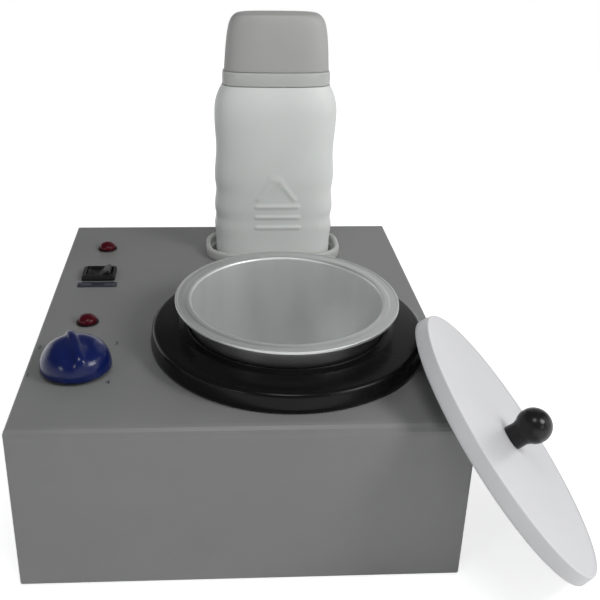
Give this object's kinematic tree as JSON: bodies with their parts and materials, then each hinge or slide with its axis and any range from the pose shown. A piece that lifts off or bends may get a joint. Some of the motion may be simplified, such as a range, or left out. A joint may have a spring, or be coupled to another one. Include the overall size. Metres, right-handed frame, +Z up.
{
  "type": "wax heater",
  "caption": "Salon wax heater: sheet-metal box with a lift-out pot, a roll-on cartridge in a rear well, a thermostat knob, a rocker switch, signal lamps and a loose lid.",
  "frame": {"origin": "centre of the whole object's bounding box, on the table plane; the lid leaning on the right is included", "axes": "+Z up, -Y towards the front of the housing, +X to the right as seen from the front"},
  "size_m": [0.285, 0.2944, 0.2369],
  "materials": {
    "paint_grey": "satin",
    "zinc": "satin",
    "black_gloss": "gloss",
    "well_aluminium": "satin",
    "heater_alloy": "cast",
    "mica": "matt, stands for mica",
    "pot_aluminium": "polished outside, satin inside",
    "switch_black": "matt",
    "rocker_black": "satin",
    "lamp_black": "satin",
    "lamp_red": "gloss",
    "bakelite": "matt",
    "nut_brass": "satin",
    "knob_blue": "gloss",
    "shaft_steel": "satin",
    "white_plastic": "satin",
    "plate_alloy": "satin",
    "bottle_white": "satin",
    "head_white": "satin",
    "axle_steel": "satin",
    "roller_white": "gloss",
    "cap_grey": "gloss, translucent",
    "lid_white": "satin",
    "knob_black": "gloss",
    "lid_screw_steel": "satin",
    "gland_black": "matt",
    "gland_nut_black": "matt",
    "terminal_white": "matt",
    "foot_rubber": "matt",
    "screw_steel": "satin"
  },
  "bodies": {
    "heater_base": {"housing_shell": "paint_grey", "base_pan": "zinc", "foot_1": "foot_rubber", "foot_2": "foot_rubber", "foot_3": "foot_rubber", "foot_4": "foot_rubber", "foot_screw_1": "screw_steel", "foot_screw_2": "screw_steel", "foot_screw_3": "screw_steel", "foot_screw_4": "screw_steel", "side_screw_1": "screw_steel", "side_screw_2": "screw_steel", "side_screw_3": "screw_steel", "side_screw_4": "screw_steel", "seat_ring": "black_gloss", "ring_screw_1": "screw_steel", "ring_screw_2": "screw_steel", "ring_screw_3": "screw_steel", "heating_well": "well_aluminium", "pot_heater": "heater_alloy", "heater_cover": "mica", "switch_frame": "switch_black", "lamp_bezel_1": "lamp_black", "lamp_bezel_2": "lamp_black", "lamp_lens_1": "lamp_red", "lamp_lens_2": "lamp_red", "thermostat_body": "bakelite", "thermostat_nut": "nut_brass", "cartridge_sleeve": "white_plastic", "cartridge_heater": "plate_alloy", "cord_gland": "gland_black", "gland_nut": "gland_nut_black", "terminal_block": "terminal_white"},
    "pot": {"pot": "pot_aluminium"},
    "rocker": {"rocker": "rocker_black"},
    "knob": {"knob": "knob_blue", "knob_shaft": "shaft_steel"},
    "cartridge": {"cartridge_bottle": "bottle_white", "roller_head": "head_white", "roller_axle": "axle_steel"},
    "roller": {"roller": "roller_white"},
    "cap": {"cartridge_cap": "cap_grey"},
    "lid": {"lid": "lid_white", "lid_knob": "knob_black", "lid_screw": "lid_screw_steel"}
  },
  "joints": [
    {"name": "pot_lift", "type": "slide", "parent": "heater_base", "child": "pot", "axis": [0, 0, 1], "range_m": [0, 0.11]},
    {"name": "lid_lift", "type": "slide", "parent": "heater_base", "child": "lid", "axis": [0, 0, 1], "range_m": [0, 0.15]},
    {"name": "rocker_tilt", "type": "hinge", "parent": "heater_base", "child": "rocker", "pos_m": [-0.11736, 0.05782, 0.0871], "axis": [0, 1, 0], "range_deg": [0, 22]},
    {"name": "knob_turn", "type": "hinge", "parent": "heater_base", "child": "knob", "pos_m": [-0.11606, -0.05149, 0.0873], "axis": [0, 0, -1], "range_deg": [0, 270]},
    {"name": "cartridge_lift", "type": "slide", "parent": "heater_base", "child": "cartridge", "axis": [0, 0, 1], "range_m": [0, 0.09]},
    {"name": "cap_pull", "type": "slide", "parent": "cartridge", "child": "cap", "axis": [0, 0, 1], "range_m": [0, 0.05]},
    {"name": "roller_turn", "type": "hinge", "parent": "cartridge", "child": "roller", "pos_m": [-0.01066, 0.09322, 0.2026], "axis": [1, 0, 0], "continuous": true}
  ]
}
